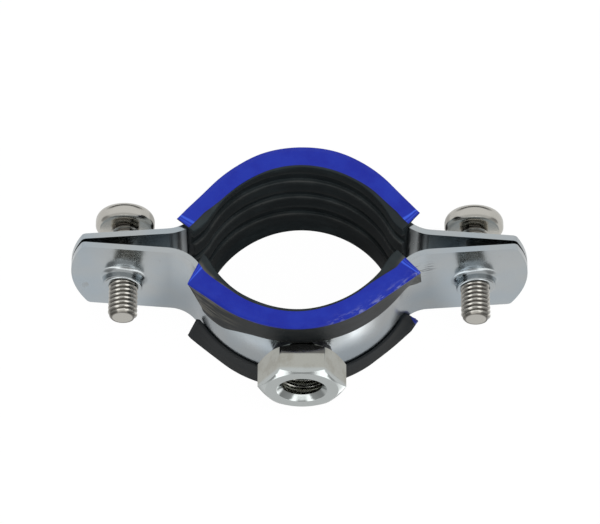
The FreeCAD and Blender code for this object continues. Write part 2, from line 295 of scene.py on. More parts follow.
def run_tree(obj, tree, inputs):
    """Run a geometry tree on an object, with its inputs set by name."""
    modifier = obj.modifiers.new(tree.name, "NODES")
    modifier.node_group = tree
    for item in tree.interface.items_tree:
        if item.item_type == "SOCKET" and item.in_out == "INPUT" and item.name in inputs:
            modifier[item.identifier] = inputs[item.name]
    plain_mesh(obj)


def smooth(obj, degrees):
    """Smooth shading, with edges kept sharp where faces meet at more than an angle."""
    obj.data.shade_smooth()
    obj.data.set_sharp_from_angle(angle=math.radians(degrees))


def outward_faces(obj):
    """Merge doubles, close open ends and turn all faces outwards."""
    work = bmesh.new()
    work.from_mesh(obj.data)
    bmesh.ops.remove_doubles(work, verts=work.verts, dist=0.0005 * MM)
    bmesh.ops.dissolve_degenerate(work, edges=work.edges, dist=0.0005 * MM)
    open_edges = [edge for edge in work.edges if edge.is_boundary]
    bmesh.ops.holes_fill(work, edges=open_edges, sides=0)
    bmesh.ops.recalc_face_normals(work, faces=work.faces)
    work.to_mesh(obj.data)
    work.free()
    return obj


def cad_copy(node, name):
    """A merged copy of a CAD node's mesh, as a new object."""
    obj = new_object(name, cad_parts[node].data.copy())
    obj.data.materials.clear()
    normals = obj.data.attributes.get("custom_normal")
    if normals:
        obj.data.attributes.remove(normals)
    return outward_faces(obj)


def rounded_edges(obj, width, degrees=35.0):
    """Round the edges where faces meet at more than an angle."""
    bevel = obj.modifiers.new("edge", "BEVEL")
    bevel.width = width
    bevel.segments = 3
    bevel.limit_method = "ANGLE"
    bevel.angle_limit = math.radians(degrees)
    plain_mesh(obj)


def weighted(obj):
    """Weight the normals by face area, so that flat faces stay flat beside round ones."""
    normals = obj.modifiers.new("normals", "WEIGHTED_NORMAL")
    normals.keep_sharp = True
    normals.weight = 90
    plain_mesh(obj)


def cut_away(obj, cutter, operation="DIFFERENCE"):
    """Combine an object with another one, which is then removed."""
    boolean = obj.modifiers.new("cut", "BOOLEAN")
    boolean.operation = operation
    boolean.solver = "EXACT"
    boolean.object = cutter
    plain_mesh(obj)
    bpy.data.objects.remove(cutter)


def seat(obj, body, slot, *nodes):
    """Let a finished piece ride on its body in place of its CAD nodes."""
    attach(obj, body)
    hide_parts(*nodes)


def finish_metal(obj, material, degrees):
    """Give a metal piece its one material and clean shading."""
    obj.data.materials.clear()
    obj.data.materials.append(material)
    smooth(obj, degrees)
    weighted(obj)


# Lining

HalfLining = namedtuple("HalfLining", "name node body side flank lip overruns leans upper lower ends seed")
LipEnd = namedtuple("LipEnd", "trim pull lean run")
Station = namedtuple("Station", "foot outward back flare inset run gap rims lips trims")
Corner = namedtuple("Corner", "depth height radius lip stripe", defaults=(0.0, 0.0, 0.0))
ProfilePoint = namedtuple("ProfilePoint", "depth height lip stripe")

GROOVE_WIDTHS = (2.6 * MM, 1.9 * MM, 2.3 * MM)
STATION_STEP = 0.4 * MM
PROFILE_STEP = 0.7 * MM
END_ROUND = 0.13 * MM
RIM_ROUND = 0.32 * MM
RIB_ROUND = 0.28 * MM
GROOVE_ROUND = 0.16 * MM
STRIPE_FADE = 0.05 * MM
ROUND_STEPS = 4

# How a rim strays from its even shape: place from the left end (-1) to the right end (1), how far its edge at the
# pipe, its stripe and its outer edge stand out, then how far the lip's free edge stands off the band, how thick it
# is there and how far it is drawn up towards the rim, in mm
FRONT_UPPER = (
    (-1.0, -0.05, -0.57, 0.74, 3.00, 0.90, -0.5), (-0.85, -0.12, 0.15, 0.65, 2.10, 0.95, -0.5),
    (-0.55, -0.25, 0.00, 0.20, 1.75, 0.95, -1.0), (-0.42, -0.38, -0.12, 0.02, 1.25, 0.90, 0.0),
    (-0.30, -0.45, -0.25, -0.14, 0.90, 0.85, 0.4), (0.0, -0.55, -0.44, -0.32, 0.75, 0.75, 0.3),
    (0.30, -0.80, -0.80, -0.55, 0.55, 0.55, 0.0), (0.55, -0.80, -0.84, -0.45, 0.55, 0.55, 0.0),
    (0.80, -0.50, -0.75, -0.15, 1.10, 0.70, 0.4), (0.91, -0.38, -0.78, -0.12, 2.50, 0.80, 1.3),
    (1.0, -0.35, -0.84, -0.15, 3.40, 0.80, 2.6))
FRONT_LOWER = (
    (-1.0, 0.00, 0.00, -0.14, 1.55, 0.60, 0.7), (-0.93, 0.00, 0.00, 0.00, 0.75, 0.50, 0.8),
    (-0.8, 0.00, 0.00, 0.10, 0.45, 0.40, 0.8), (-0.4, 0.00, 0.00, 0.10, 0.45, 0.40, 0.9),
    (0.0, 0.00, 0.00, 0.00, 0.45, 0.40, 1.0), (0.3, 0.00, 0.00, -0.28, 0.45, 0.40, 1.2),
    (0.5, 0.00, 0.00, -0.30, 0.45, 0.40, 1.3), (0.7, 0.00, 0.00, -0.42, 0.45, 0.40, 1.6),
    (0.85, 0.00, 0.00, -0.88, 0.45, 0.40, 2.1), (1.0, 0.00, -0.30, -1.50, 0.45, 0.40, 2.6))
REAR_UPPER = (
    (-1.0, 0.00, 0.08, -0.74, 1.60, 0.90, 0.0), (-0.62, -0.40, -0.50, -0.82, 1.00, 0.80, 0.0),
    (-0.42, -0.40, -0.58, -0.66, 1.10, 0.80, 0.0), (-0.22, -0.20, -0.28, -0.22, 1.30, 0.90, 0.0),
    (0.0, 0.00, -0.09, -0.02, 1.40, 0.90, 0.0), (0.22, 0.00, -0.06, 0.10, 1.40, 0.90, 0.0),
    (0.42, 0.00, 0.00, -0.07, 1.40, 0.90, 0.0), (0.65, 0.00, 0.30, -0.20, 1.30, 0.90, 0.0),
    (1.0, 0.00, 0.42, -0.15, 1.60, 0.90, 0.0))
REAR_LOWER = (
    (-1.0, -0.50, 0.00, 0.00, 1.60, 0.90, 0.0), (-0.5, -0.75, 0.00, 0.00, 1.20, 0.90, 0.0),
    (0.0, -0.40, 0.00, -0.02, 1.20, 0.90, 0.0), (0.5, -0.20, 0.00, 0.00, 1.20, 0.90, 0.0),
    (1.0, 0.00, 0.00, 0.00, 1.60, 0.90, 0.0))

# One lining for each half. Its flank is the angle at which the ends splay away, its overruns say how far it goes on
# round the bend from left and right, and its leans turn the two ends. A lip's end is cut back at the rim (trim), at
# the free edge (pull) and at the rim's outer edge (lean), fading out over a run from the end, in mm.
HALF_LININGS = (
    HalfLining("front_lining_rubber", "front_lining", "front_half", -1, math.radians(40), 1.0 * MM,
               (1.65 * MM, 2.9 * MM), (math.radians(-16), math.radians(2)), FRONT_UPPER, FRONT_LOWER,
               ((LipEnd(0.0, 3.6, 0.0, 5.5), LipEnd(0.75, 0.75, 0.0, 6.0)),
                (LipEnd(0.0, 0.15, -1.1, 4.5), LipEnd(0.0, 0.9, -0.9, 4.5))), 3),
    HalfLining("rear_lining_rubber", "rear_lining", "rear_half", 1, math.radians(49), 1.5 * MM,
               (3.58 * MM, 3.05 * MM), (math.radians(1), math.radians(-8)), REAR_UPPER, REAR_LOWER,
               ((LipEnd(0.0, 2.4, 0.0, 4.5), LipEnd(0.0, 2.4, 0.0, 4.5)),
                (LipEnd(0.0, 2.4, 0.0, 4.5), LipEnd(0.0, 2.4, 0.0, 4.5))), 8),
)


def limited(value):
    """A value kept between 0 and 1."""
    return min(max(value, 0.0), 1.0)


def curve_row(table, place):
    """The values of a table's columns at a place between its rows, on smooth curves."""
    last = len(table) - 1
    index = max(row for row in range(last) if table[row][0] <= place or row == 0)
    before, left, right, after = (table[min(max(row, 0), last)] for row in range(index - 1, index + 3))
    span = right[0] - left[0]
    part = limited((place - left[0]) / span)
    values = []
    for column in range(1, len(left)):
        slope_left = (right[column] - before[column]) / (right[0] - before[0]) * span
        slope_right = (after[column] - left[column]) / (after[0] - left[0]) * span
        rise = right[column] - left[column]
        cubic = slope_left + slope_right - 2 * rise
        square = 3 * rise - 2 * slope_left - slope_right
        values.append(left[column] + part * (slope_left + part * (square + part * cubic)))
    return values


def heading(turn):
    """Unit vector in plan, turned away from the rear by an angle."""
    return Vector((math.sin(turn), math.cos(turn)))


def to_circle(start, direction, radius, side=1):
    """Distance from a point to a circle round the origin, to its far side (1) or its near side (-1)."""
    half_way = start.dot(direction)
    square = half_way ** 2 - start.length_squared + radius ** 2
    return -half_way + side * math.sqrt(max(square, 0.0))


def band_edge():
    """Height of the bands' upper edge over their middle."""
    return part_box("rear_band")[1].z


def bend_centre(sizes):
    """Centre of the bend between a half's arc and its ear, on the right, rear half."""
    along = Vector((math.cos(sizes.ear_tilt), -math.sin(sizes.ear_tilt)))
    away = heading(sizes.ear_tilt)
    inner_bend = sizes.bend_radius + sizes.band_thickness
    arc_centre = Vector((0.0, -sizes.arc_setback))
    start = Vector((sizes.ear_reach, sizes.ear_gap / 2)) + away * inner_bend - arc_centre
    reach = sizes.pipe_radius + sizes.lining_wall + inner_bend
    return start + along * to_circle(start, along, reach) + arc_centre


def section_line(sizes, half, lean, run, total):
    """Foot, direction and lip reach of the lining's section at a run from the middle, right half."""
    arc_centre = Vector((0.0, -sizes.arc_setback))
    centre = bend_centre(sizes)
    bend = sizes.bend_radius + sizes.band_thickness + sizes.lining_wall
    arc_angle = math.atan2(centre.x, centre.y - arc_centre.y)
    arc_run = sizes.pipe_radius * arc_angle
    if run <= arc_run:
        turn = run / sizes.pipe_radius
        foot = arc_centre + heading(turn) * sizes.pipe_radius
    else:
        turn = arc_angle - (run - arc_run) / bend
        foot = centre - heading(turn) * bend
    end_turn = arc_angle - (total - arc_run) / bend
    flank_run = sizes.pipe_radius * half.flank
    ease = limited((run - flank_run) / (total - flank_run))
    ease = ease * ease * (3 - 2 * ease)
    turn += (half.flank + lean - end_turn) * ease
    outward = heading(turn)
    outer = sizes.pipe_radius + sizes.lining_wall + sizes.band_thickness + half.lip
    from_centre = foot - arc_centre
    reach = to_circle(from_centre, outward, outer)
    tip = from_centre + outward * reach
    if math.atan2(tip.x, tip.y) > half.flank:
        flank_normal = heading(half.flank)
        reach = (outer - flank_normal.dot(from_centre)) / flank_normal.dot(outward)
    return foot, outward, reach


def band_reach(sizes, foot, outward):
    """Distance from the lining's inner face to the band's outer face, right half."""
    arc_centre = Vector((0.0, -sizes.arc_setback))
    centre = bend_centre(sizes)
    outer = sizes.pipe_radius + sizes.lining_wall + sizes.band_thickness
    reach = to_circle(foot - arc_centre, outward, outer)
    hit = foot - arc_centre + outward * reach
    bend = centre - arc_centre
    if math.atan2(hit.x, hit.y) <= math.atan2(bend.x, bend.y):
        return reach
    return to_circle(foot - centre, outward, sizes.bend_radius, -1)


def half_run(sizes, overrun):
    """Length of the lining's inner face from the middle to one end."""
    centre = bend_centre(sizes)
    inner_bend = sizes.bend_radius + sizes.band_thickness
    arc_angle = math.atan2(centre.x, centre.y + sizes.arc_setback)
    return sizes.pipe_radius * arc_angle + (inner_bend + sizes.lining_wall) * overrun / inner_bend


def lining_stations(sizes, half):
    """Sections of the lining from its left end to its right end, with a rounded edge at both."""
    nominal = sizes.lining_wall + sizes.band_thickness + half.lip
    stations = []
    for side, direction in enumerate((-1, 1)):
        total = half_run(sizes, half.overruns[side])
        count = int(total / STATION_STEP)
        runs = [(total - END_ROUND) * index / count for index in range(count + 1)]
        insets = [0.0] * len(runs)
        for part in (0.35, 0.7, 1.0):
            runs.append(total - END_ROUND * (1 - part))
            insets.append(END_ROUND * (1 - math.sqrt(1 - part ** 2)))
        flip = Vector((direction, half.side))
        back = Vector((-math.cos(half.flank), math.sin(half.flank))) * flip
        half_stations = []
        for run, inset in zip(runs, insets):
            foot, outward, reach = section_line(sizes, half, half.leans[side], run, total)
            flare = reach - nominal
            band = band_reach(sizes, foot, outward) + sizes.channel_play
            rims, lips, trims = [], [], []
            for table, ends in zip((half.upper, half.lower), half.ends):
                end = ends[side]
                fade = max(0.0, 1 - (total - run) / (end.run * MM))
                pipe_edge, stripe, outer_edge, stand, thickness, rise = (
                    value * MM for value in curve_row(table, direction * run / total))
                rims.append((pipe_edge, stripe, outer_edge))
                lips.append((band + stand - reach,
                             band + max(stand - thickness, 0.0) - reach + half.lip - sizes.channel_play, rise))
                trims.append((end.trim * fade * MM, end.pull * fade * MM, end.lean * fade * MM))
            half_stations.append(Station(foot * flip, outward * flip, back, flare, inset, direction * run,
                                         total - run, rims, lips, trims))
        stations = half_stations[::-1] if direction < 0 else stations + half_stations[1:]
    return stations


def rounded_outline(corners):
    """Corner points turned into a closed outline with round corners and short edges."""
    points = []
    for index, corner in enumerate(corners):
        place = Vector((corner.depth, corner.height))
        if corner.radius == 0:
            points.append(ProfilePoint(corner.depth, corner.height, corner.lip, corner.stripe))
            continue
        before = corners[index - 1]
        after = corners[(index + 1) % len(corners)]
        towards_before = (Vector((before.depth, before.height)) - place).normalized()
        towards_after = (Vector((after.depth, after.height)) - place).normalized()
        centre = place + (towards_before + towards_after) * corner.radius
        for step in range(ROUND_STEPS + 1):
            turn = math.radians(90 * step / ROUND_STEPS)
            point = centre - (towards_after * math.cos(turn) + towards_before * math.sin(turn)) * corner.radius
            points.append(ProfilePoint(point.x, point.y, corner.lip, corner.stripe))
    outline = []
    for index, point in enumerate(points):
        after = points[(index + 1) % len(points)]
        outline.append(point)
        run = math.dist(point[:2], after[:2])
        parts = max(1, round(run / PROFILE_STEP))
        for part in range(1, parts):
            outline.append(ProfilePoint(*(a + (b - a) * part / parts for a, b in zip(point, after))))
    return outline


def groove_tops(sizes):
    """Width and upper edge of each groove between the ribs."""
    height = band_edge() + sizes.lining_rim - sizes.rim_land
    for width in GROOVE_WIDTHS:
        yield width, height
        height -= width + sizes.rib_height


def lining_profile(sizes, lip):
    """The lining's C section: ribs on the pipe side, rims over the band's edges, lips outside it."""
    half_width = band_edge()
    top = half_width + sizes.lining_rim
    free_edge = half_width - sizes.lip_height
    wall = sizes.lining_wall - sizes.channel_play
    lip_in = sizes.lining_wall + sizes.band_thickness + sizes.channel_play
    lip_out = sizes.lining_wall + sizes.band_thickness + lip
    stripe_in = sizes.stripe_start
    channel = half_width + sizes.channel_play
    ribs = []
    for width, height in groove_tops(sizes):
        ribs += [Corner(0.0, height, RIB_ROUND), Corner(sizes.groove_depth, height, GROOVE_ROUND),
                 Corner(sizes.groove_depth, height - width, GROOVE_ROUND),
                 Corner(0.0, height - width, RIB_ROUND)]
    upper = [
        Corner(0.0, top, RIM_ROUND),
        Corner(stripe_in - STRIPE_FADE, top, 0.0, 1.0),
        Corner(stripe_in, top, 0.0, 1.0, 1.0),
        Corner(lip_out, top, RIM_ROUND, 1.0, 1.0),
        Corner(lip_out, top - RIM_ROUND - STRIPE_FADE, 0.0, 1.0, 1.0),
        Corner(lip_out, top - RIM_ROUND - 2 * STRIPE_FADE, 0.0, 1.0),
        Corner(lip_out, free_edge, RIB_ROUND, 1.0),
        Corner(lip_in, free_edge, GROOVE_ROUND, 1.0),
        Corner(lip_in, channel, 0.0, 1.0),
        Corner(wall, channel),
    ]
    flat = lip_out - RIM_ROUND
    lower = upper[:3] + [Corner(flat - STRIPE_FADE, top, 0.0, 1.0, 1.0), Corner(flat, top, 0.0, 1.0)]
    lower += [corner._replace(stripe=0.0) for corner in upper[3:4] + upper[5:]]
    lower = [corner._replace(height=-corner.height) for corner in lower[::-1]]
    return rounded_outline(upper + lower + ribs[::-1])


def section_shares(sizes, lip, point):
    """How far a point of the section follows the rim's edges, the lip's two faces, its rise and the end's trims."""
    half_width = band_edge()
    top = half_width + sizes.lining_rim
    level = abs(point.height)
    lip_in = sizes.lining_wall + sizes.band_thickness
    lip_out = lip_in + lip
    down = limited((top - level) / (sizes.lip_height + sizes.lining_rim))
    rise = limited((half_width - level) / sizes.lip_height)
    across = limited((point.depth - sizes.stripe_start) / (lip_out - sizes.stripe_start))
    high = limited((level - top + sizes.rim_land) / (sizes.rim_land - 0.4 * MM))
    below_rim = level < half_width + 2 * sizes.channel_play
    on_outer_face = point.depth > lip_out - 0.4 * MM and level < top - 0.3 * MM
    on_pipe_side = point.depth < sizes.stripe_start - 0.08 * MM
    still = (0.0, 0.0, 0.0)
    if on_outer_face:
        return (0.0, 0.0, 1 - down), (down, 0.0, 0.0), rise, (1 - down, down, 1 - down)
    if point.depth > lip_in and below_rim:
        return still, (0.0, down, 0.0), rise, (1 - down, down, 0.6 * (1 - down))
    if on_pipe_side:
        return (high, 0.0, 0.0), still, 0.0, (high, 0.0, 0.0)
    if below_rim:
        return still, still, 0.0, (high, 0.0, 0.0)
    return (0.0, 1 - across, across), still, 0.0, (1.0, 0.0, across)


def inset_directions(outline):
    """For each point of a closed outline, the direction into the section."""
    places = [Vector((point.depth, point.height)) for point in outline]
    count = len(places)
    area = sum(places[index - 1].cross(places[index]) for index in range(count))
    turn = 1 if area > 0 else -1
    directions = []
    for index in range(count):
        along = places[(index + 1) % count] - places[index - 1]
        directions.append(Vector((-along.y, along.x)).normalized() * turn)
    return directions


def lining_tree():
    """Sweeps a section along a rail. Attributes of both say where each point of the surface goes."""
    tree, given, result = new_tree("sweep_lining", "GeometryNodeTree", [
        ("Geometry", "NodeSocketGeometry", None),
        ("Section", "NodeSocketObject", None),
        ("Waviness", "NodeSocketFloat", 0.05 * MM),
        ("Wave Length", "NodeSocketFloat", 9.0 * MM),
        ("Seed", "NodeSocketInt", 1),
        ("Material", "NodeSocketMaterial", None),
    ], [("Geometry", "NodeSocketGeometry")])

    def read(name, kind="FLOAT"):
        return output(tree, "GeometryNodeInputNamedAttribute", {"Name": name}, "Attribute", data_type=kind)

    def read_vector(name):
        return read(name, "FLOAT_VECTOR")

    section = output(tree, "GeometryNodeObjectInfo", {"Object": given["Section"]}, "Geometry")
    profile = output(tree, "GeometryNodeMeshToCurve", {"Mesh": section})
    rail = output(tree, "GeometryNodeMeshToCurve", {"Mesh": given["Geometry"]})
    swept = output(tree, "GeometryNodeCurveToMesh", {"Curve": rail, "Profile Curve": profile})
    strays, followed = {}, {}
    for name in ("rim", "lip", "trim"):
        strays[name] = mix(read("upper"), read_vector("lower_" + name), read_vector("upper_" + name), "VECTOR")
        followed[name] = vector_calc("DOT_PRODUCT", strays[name], read_vector(name + "_share"))
    foot, lip, inset = read_vector("foot"), read("lip"), read("inset")
    wave = output(tree, "ShaderNodeTexNoise", {
        "Vector": foot, "W": given["Seed"] * 1.7, "Scale": calc("DIVIDE", 1.0, given["Wave Length"]),
        "Detail": 2.0}, noise_dimensions="4D")
    depth = inset * read("inset_depth") + (lip * read("flare") + read("depth"))
    depth = depth + (followed["rim"] + followed["lip"]) - wave * given["Waviness"] * lip
    rise = split(strays["lip"])[2]
    height = rise * read("rise_share") + (inset * read("inset_height") + read("height"))
    place = vector_calc("ADD", foot, scaled(read_vector("outward"), depth))
    place = vector_calc("ADD", place, joined(tree, z=height))
    place = vector_calc("ADD", place, scaled(read_vector("back"), followed["trim"]))
    moved = output(tree, "GeometryNodeSetPosition", {"Geometry": swept, "Position": place})
    real = output(tree, "GeometryNodeRealizeInstances", {"Geometry": moved})
    painted = output(tree, "GeometryNodeSetMaterial", {"Geometry": real, "Material": given["Material"]})
    feed(result, {"Geometry": painted})
    return tree


def close_ends(obj):
    """Close both ends with faces laid out on the even section, so that a bent end stays whole."""
    work = bmesh.new()
    work.from_mesh(obj.data)
    depth = work.verts.layers.float["depth"]
    height = work.verts.layers.float["height"]
    open_edges = [edge for edge in work.edges if edge.is_boundary]
    while open_edges:
        following = [open_edges[0]]
        ring = [open_edges[0].verts[0]]
        while following:
            open_edges.remove(following[0])
            ring.append(following[0].other_vert(ring[-1]))
            following = [edge for edge in ring[-1].link_edges if edge in open_edges]
        if ring[-1] is ring[0]:
            ring.pop()
        for corners in tessellate_polygon([[(vert[depth], vert[height], 0.0) for vert in ring]]):
            work.faces.new([ring[corner] for corner in corners])
    work.to_mesh(obj.data)
    work.free()


def lining_rail(sizes, half):
    """The line that the section is swept along, with what moves the section at each station."""
    stations = lining_stations(sizes, half)
    rail = line_object(half.name, [(*station.foot, 0.0) for station in stations], False)
    columns = {"shown": [1.0 if station.gap > END_ROUND / 2 else 0.0 for station in stations]}
    for name in ("foot", "outward", "back"):
        columns[name] = [(*getattr(station, name), 0.0) for station in stations]
    for name in ("rim", "lip", "trim"):
        for index, edge in enumerate(("upper_", "lower_")):
            columns[edge + name] = [getattr(station, name + "s")[index] for station in stations]
    for name in ("flare", "inset", "run", "gap"):
        columns[name] = [getattr(station, name) for station in stations]
    store(rail, columns)
    return rail


def nearness(place, marks, reach):
    """How near a place is to the nearest mark: 1 at the mark, falling off over a reach."""
    return math.exp(-min(math.dist(place, mark) for mark in marks) / reach)


def lining_section(sizes, half):
    """The section as a closed line, with what says how each of its points moves and what colour it has."""
    outline = lining_profile(sizes, half.lip)
    section = line_object(half.name + "_section", [(point.depth, point.height, 0.0) for point in outline], True)
    columns = {name: [getattr(point, name) for point in outline] for name in ProfilePoint._fields}
    rims, lips, rises, trims = zip(*(section_shares(sizes, half.lip, point) for point in outline))
    columns |= {"rim_share": rims, "lip_share": lips, "trim_share": trims}
    signs = [1 if point.height > 0 else -1 for point in outline]
    columns["rise_share"] = [sign * rise for sign, rise in zip(signs, rises)]
    columns["upper"] = [(1 + sign) / 2 for sign in signs]
    columns["inset_depth"], columns["inset_height"] = map(list, zip(*inset_directions(outline)))
    corner = (sizes.lining_wall + sizes.band_thickness + half.lip, band_edge() + sizes.lining_rim)
    ribs = [(0.0, edge) for width, height in groove_tops(sizes) for edge in (height, height - width)]
    columns["rim_edge"] = [nearness((point.depth, abs(point.height)), [corner], 0.4 * MM) for point in outline]
    # Nearness to the ribs' edges, where the rubber gets a painted highlight
    columns["rib_edge"] = [nearness((point.depth, point.height), ribs, 0.22 * MM) for point in outline]
    store(section, columns)
    return section


def make_lining(sizes, half, tree, material):
    """One half's lining, swept along its band."""
    lining = lining_rail(sizes, half)
    section = lining_section(sizes, half)
    run_tree(lining, tree, {"Section": section, "Seed": half.seed, "Material": material})
    bpy.data.objects.remove(section)
    close_ends(lining)
    outward_faces(lining)
    smooth(lining, 50)
    seat(lining, half.body, "lining_rubber", half.node)


# Threads

THREAD_SIDES = 72


def thread_turn(name, pitch, radius, root):
    """One turn of a right-hand thread round Y, starting at the origin."""
    # Share of the pitch and distance from the axis, with the crest in the middle
    profile = [(0.0, root), (0.09, root), (0.13, root + 0.04 * (radius - root)),
               (0.44, radius - 0.06 * (radius - root)), (0.48, radius), (0.56, radius),
               (0.60, radius - 0.06 * (radius - root)), (0.91, root + 0.04 * (radius - root)), (1.0, root)]
    points = []
    for step in range(THREAD_SIDES + 1):
        turn = 2 * math.pi * step / THREAD_SIDES
        for along, reach in profile:
            points.append((reach * math.sin(turn), pitch * (along + step / THREAD_SIDES), reach * math.cos(turn)))
    wide = len(profile)
    faces = []
    for step in range(THREAD_SIDES):
        for index in range(wide - 1):
            low = step * wide + index
            faces.append((low, low + 1, low + wide + 1, low + wide))
    return shape_object(name, points, faces=faces)


def thread_tree():
    """Repeats one turn along Y and trims both ends flat, with a cone at each."""
    tree, given, result = new_tree("repeat_thread", "GeometryNodeTree", [
        ("Geometry", "NodeSocketGeometry", None),
        ("Pitch", "NodeSocketFloat", 1.0 * MM),
        ("Turns", "NodeSocketInt", 10),
        ("Low End", "NodeSocketFloat", 0.0),
        ("High End", "NodeSocketFloat", 10.0 * MM),
        ("Low Radius", "NodeSocketFloat", 2.0 * MM),
        ("High Radius", "NodeSocketFloat", 2.0 * MM),
        ("Axis X", "NodeSocketFloat", 0.0),
        ("Material", "NodeSocketMaterial", None),
    ], [("Geometry", "NodeSocketGeometry")])
    pitch, low, high = given["Pitch"], given["Low End"], given["High End"]
    line = output(tree, "GeometryNodeMeshLine", {
        "Count": given["Turns"], "Start Location": joined(tree, y=pitch * -2.0 + low),
        "Offset": joined(tree, y=pitch)})
    copies = output(tree, "GeometryNodeInstanceOnPoints", {"Points": line, "Instance": given["Geometry"]})
    real = output(tree, "GeometryNodeRealizeInstances", {"Geometry": copies})
    x, y, z = split(output(tree, "GeometryNodeInputPosition"))
    reach = calc("SQRT", x * x + z * z)
    trimmed = calc("MINIMUM", calc("MAXIMUM", y, low), high)
    allowed = calc("MINIMUM", given["Low Radius"] + (trimmed - low), given["High Radius"] + (high - trimmed))
    factor = calc("DIVIDE", calc("MINIMUM", reach, allowed), reach)
    place = joined(tree, x * factor + given["Axis X"], trimmed, z * factor)
    moved = output(tree, "GeometryNodeSetPosition", {"Geometry": real, "Position": place})
    merged = output(tree, "GeometryNodeMergeByDistance", {"Geometry": moved, "Distance": 0.001 * MM})
    painted = output(tree, "GeometryNodeSetMaterial", {"Geometry": merged, "Material": given["Material"]})
    feed(result, {"Geometry": painted})
    return tree


def make_thread(name, tree, radius, root, inputs):
    """A threaded rod along Y, as a closed mesh. The inputs are the tree's, by name."""
    pitch = inputs["Pitch"]
    turns = math.ceil((inputs["High End"] - inputs["Low End"]) / pitch) + 4
    rod = thread_turn(name, pitch, radius, root)
    run_tree(rod, tree, {"Turns": turns, **inputs})
    return outward_faces(rod)


# Screws

HEAD_UNDERSIDE = 7.4405 * MM
HEAD_SIDES = 96
UNDER_ROUND = 0.85 * MM
TOP_ROUND = 1.7 * MM

Recess = namedtuple("Recess", "span bottom_span width depth")
SLOT = Recess(7.3 * MM, 6.9 * MM, 1.3 * MM, 1.5 * MM)
CROSS_BAR = Recess(5.1 * MM, 1.1 * MM, 1.1 * MM, 2.0 * MM)


def turned_shape(name, outline, axis_x, sides):
    """A closed shape turned round an axis along Y, from (radius, y) points whose ends lie on the axis."""
    work = bmesh.new()
    rings = []
    for radius, y in outline:
        if radius == 0:
            rings.append([work.verts.new((axis_x, y, 0.0))])
            continue
        rings.append([work.verts.new((axis_x + radius * math.cos(2 * math.pi * step / sides), y,
                                      radius * math.sin(2 * math.pi * step / sides))) for step in range(sides)])
    for first, second in zip(rings, rings[1:]):
        for step in range(sides):
            corners = [first[step % len(first)], first[(step + 1) % len(first)],
                       second[(step + 1) % len(second)], second[step % len(second)]]
            unique = list(dict.fromkeys(corners))
            if len(unique) > 2:
                work.faces.new(unique)
    bmesh.ops.recalc_face_normals(work, faces=work.faces)
    mesh = bpy.data.meshes.new(name)
    work.to_mesh(mesh)
    work.free()
    return new_object(name, mesh)


def arc_points(centre, radius, start, end, steps):
    """Points (radius, y) on an arc in a turned outline, angles in degrees."""
    points = []
    for step in range(steps + 1):
        turn = math.radians(start + (end - start) * step / steps)
        points.append((centre[0] + radius * math.cos(turn), centre[1] + radius * math.sin(turn)))
    return points


def recess_bar(recess, centre, head_top, turn):
    """A bar across the screw's head, narrower at its bottom, that cuts a recess."""
    corners = []
    for y, reach in ((head_top + 0.2 * MM, recess.span / 2), (head_top - recess.depth, recess.bottom_span / 2)):
        for x, z in ((-reach, -recess.width / 2), (reach, -recess.width / 2),
                     (reach, recess.width / 2), (-reach, recess.width / 2)):
            corners.append((centre + x * math.cos(turn) - z * math.sin(turn), y,
                            x * math.sin(turn) + z * math.cos(turn)))
    faces = [(0, 1, 2, 3), (4, 7, 6, 5), (0, 4, 5, 1), (1, 5, 6, 2), (2, 6, 7, 3), (3, 7, 4, 0)]
    return outward_faces(shape_object("recess", corners, faces=faces))


def make_screw(sizes, node, name, turn, tree, material):
    """Pan head screw with a slot, a cross recess and a rolled thread."""
    low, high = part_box(node)
    axis_x = (low.x + high.x) / 2
    radius = (high.x - low.x) / 2
    outline = [(0.0, HEAD_UNDERSIDE), (radius - UNDER_ROUND, HEAD_UNDERSIDE)]
    outline += arc_points((radius - UNDER_ROUND, HEAD_UNDERSIDE + UNDER_ROUND), UNDER_ROUND, -90, 0, 8)[1:]
    outline += arc_points((radius - TOP_ROUND, high.y - TOP_ROUND), TOP_ROUND, 0, 90, 16)
    outline += [((radius - TOP_ROUND) / 2, high.y), (0.0, high.y)]
    head = turned_shape(name, outline, axis_x, HEAD_SIDES)
    for recess, bar_turn in ((SLOT, turn), (CROSS_BAR, turn), (CROSS_BAR, turn + math.radians(90))):
        cut_away(head, recess_bar(recess, axis_x, high.y, bar_turn))
    rounded_edges(head, 0.07 * MM, 40)
    root = sizes.screw_radius - 0.6 * sizes.screw_pitch
    overlap = 0.3 * MM
    rod = make_thread("rod", tree, sizes.screw_radius, root, {
        "Pitch": sizes.screw_pitch, "Low End": low.y, "High End": HEAD_UNDERSIDE + overlap,
        "Low Radius": root - 0.05 * MM, "High Radius": root - overlap, "Axis X": axis_x, "Material": material})
    cut_away(head, rod, "UNION")
    finish_metal(head, material, 38)
    seat(head, node, "zinc_screw", node)


# Materials

# Tints laid over the base colours
# Painted highlight on the edges of the ribs
RIB_EDGE_HIGHLIGHT = (0.085, 0.085, 0.08)
LEFT_LIP = (0.13, 0.125, 0.105)
RIGHT_LIP = (0.11, 0.115, 0.11)
SCUFF = (0.40, 0.43, 0.60)
# Dark marks on the front band, partly scratches and partly painted shadow of the lips
DARK_SCRATCH_AND_SHADOW_TINT = (0.07, 0.075, 0.085)
NUT_MOTTLE = (0.36, 0.35, 0.30)
# Painted cool reflection on the nut's front
NUT_FRONT_REFLECTION = (0.56, 0.60, 0.60)
# Painted shade at the nut's welded back and on the rear of its top
NUT_BACK_SHADE = (0.05, 0.05, 0.055)
# Painted shade in the roots of the screws' thread
THREAD_ROOT_SHADE = (0.21, 0.20, 0.18)

# Places of dark marks on the front band, partly scratches and partly painted shadow of the lips: centre, reach, and
# the turn of the scratches
SCRATCHED_AND_SHADED_PLACES = (((20.5 * MM, -3.0 * MM, 5.0 * MM), 3.4 * MM, 0.9),
              ((14.0 * MM, -14.5 * MM, -2.5 * MM), 2.4 * MM, -0.5))


